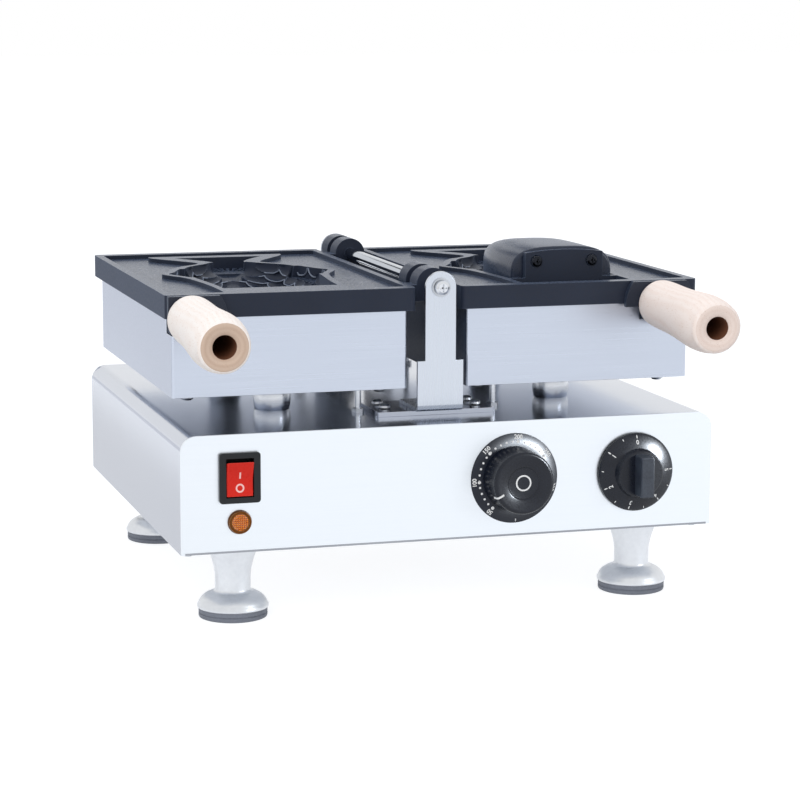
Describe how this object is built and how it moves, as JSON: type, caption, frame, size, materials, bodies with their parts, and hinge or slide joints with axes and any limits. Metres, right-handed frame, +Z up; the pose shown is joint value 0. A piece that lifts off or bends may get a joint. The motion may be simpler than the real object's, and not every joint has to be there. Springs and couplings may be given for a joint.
{
  "type": "taiyaki maker",
  "caption": "Countertop taiyaki maker: fish moulds with heaters that swing shut on an axle over a base with switch, thermostat and timer; one mould has a dome core for an open mouth.",
  "frame": {"origin": "centre of the whole part's outer box, on the surface it stands on; the axle lies 1.25 mm to the right of it", "axes": "+Z up, -Y towards the front panel with its controls, +X to the right of someone who faces that panel; the hinge axle runs along Y"},
  "size_m": [0.3506, 0.3802, 0.2215],
  "materials": {
    "base_sheet": "satin stainless sheet",
    "front_enamel": "pale satin panel",
    "foot_casting": "polished casting",
    "foot_rubber": "matt rubber",
    "zinc_steel": "zinc plated",
    "polished_steel": "turned and polished",
    "bracket_steel": "satin stainless strip",
    "switch_plastic": "black polyamide",
    "rocker_red": "red polycarbonate",
    "lamp_ring": "gilt ring",
    "lamp_amber": "amber faceted lens",
    "dial_black": "black printed dial",
    "knob_black": "black phenolic",
    "pointer_white": "white pointer",
    "control_case": "plain control case",
    "shaft_steel": "ground shaft",
    "terminal_plastic": "pale polyamide",
    "mould_coating": "black non-stick on cast aluminium",
    "core_coating": "grey non-stick on cast aluminium",
    "core_screw_steel": "darkened screws",
    "housing_steel": "satin stainless sheet",
    "heater_steel": "heat tinted tube",
    "clamp_steel": "plain sheet",
    "collar_black": "black collar",
    "beech": "turned pale beech",
    "bolt_steel": "socket cap screw"
  },
  "bodies": {
    "base": {"base_shell": "base_sheet", "rear_panel": "base_sheet", "bottom_plate": "base_sheet", "front_panel": "front_enamel", "feet": "foot_casting", "foot_pads": "foot_rubber", "foot_bolts": "zinc_steel", "post_nuts": "zinc_steel", "stop_pin_nuts": "zinc_steel", "hinge_screws": "zinc_steel", "axle_washers": "zinc_steel", "base_screws": "zinc_steel", "rest_posts": "polished_steel", "stop_pins": "polished_steel", "axle": "polished_steel", "axle_screws": "polished_steel", "hinge_plates": "bracket_steel", "hinge_bracket_front": "bracket_steel", "hinge_bracket_rear": "bracket_steel", "rocker_bezel": "switch_plastic", "cable_gland": "switch_plastic", "lamp_bezel": "lamp_ring", "lamp_lens": "lamp_amber", "thermostat_dial": "dial_black", "thermostat_body": "control_case", "timer_body": "control_case", "terminal_block": "terminal_plastic"},
    "left_mould": {"left_mould_plate": "mould_coating", "left_housing": "housing_steel", "left_heater": "heater_steel", "left_heater_clamp": "clamp_steel", "left_housing_screws": "zinc_steel", "left_collar": "collar_black", "left_handle": "beech", "left_handle_bolt": "bolt_steel"},
    "right_mould": {"right_mould_plate": "mould_coating", "right_housing": "housing_steel", "right_heater": "heater_steel", "right_heater_clamp": "clamp_steel", "right_housing_screws": "zinc_steel", "right_collar": "collar_black", "right_handle": "beech", "right_handle_bolt": "bolt_steel", "mouth_core": "core_coating", "core_screws": "core_screw_steel"},
    "rocker": {"rocker": "rocker_red"},
    "thermostat_control": {"thermostat_shaft": "shaft_steel", "thermostat_pointer": "pointer_white", "thermostat_knob": "knob_black"},
    "timer_control": {"timer_shaft": "shaft_steel", "timer_knob": "knob_black"}
  },
  "joints": [
    {"name": "left_hinge", "type": "hinge", "parent": "base", "child": "left_mould", "pos_m": [0.00135, 0.02808, 0.202], "axis": [0, 1, 0], "range_deg": [0, 180]},
    {"name": "right_hinge", "type": "hinge", "parent": "base", "child": "right_mould", "pos_m": [0.00135, 0.02808, 0.202], "axis": [0, -1, 0], "range_deg": [0, 180]},
    {"name": "rocker_tilt", "type": "hinge", "parent": "base", "child": "rocker", "pos_m": [-0.13485, -0.12391, 0.0939], "axis": [-1, 0, 0], "range_deg": [0, 16]},
    {"name": "thermostat_turn", "type": "hinge", "parent": "base", "child": "thermostat_control", "pos_m": [0.04095, -0.13592, 0.0843], "axis": [0, 1, 0], "range_deg": [-66, 221]},
    {"name": "timer_turn", "type": "hinge", "parent": "base", "child": "timer_control", "pos_m": [0.12165, -0.13592, 0.0843], "axis": [0, 1, 0], "range_deg": [0, 276]}
  ]
}
